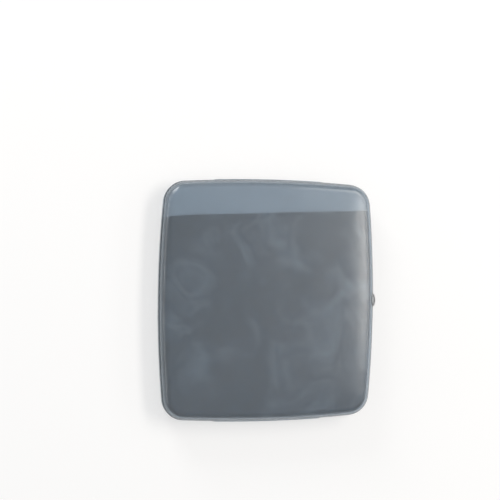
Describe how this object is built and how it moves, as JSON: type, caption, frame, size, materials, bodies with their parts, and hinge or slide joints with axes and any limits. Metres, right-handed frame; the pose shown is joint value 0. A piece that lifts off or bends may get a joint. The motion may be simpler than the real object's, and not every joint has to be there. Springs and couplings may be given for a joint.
{
  "type": "reusable ice pack",
  "caption": "Slim, nearly square reusable ice pack: a translucent blow-moulded bottle with bowed sides, a small welded fill plug and frozen gel inside.",
  "frame": {"origin": "centre of the flat back face, which the pack lies on", "axes": "+Z out of the front face, +Y towards the end with the air gap (up when the pack stands in use), +X towards the side with the fill plug"},
  "size_m": [0.1164, 0.1212, 0.0127],
  "materials": {
    "shell_plastic": "smooth translucent smoke-grey plastic, about 1 mm thick, satin to gloss",
    "plug_plastic": "smooth translucent light grey plastic",
    "cooling_gel": "cloudy blue-grey gel, frozen solid"
  },
  "bodies": {
    "root": {"shell": "shell_plastic", "fill_plug": "plug_plastic", "gel": "cooling_gel"}
  },
  "joints": []
}
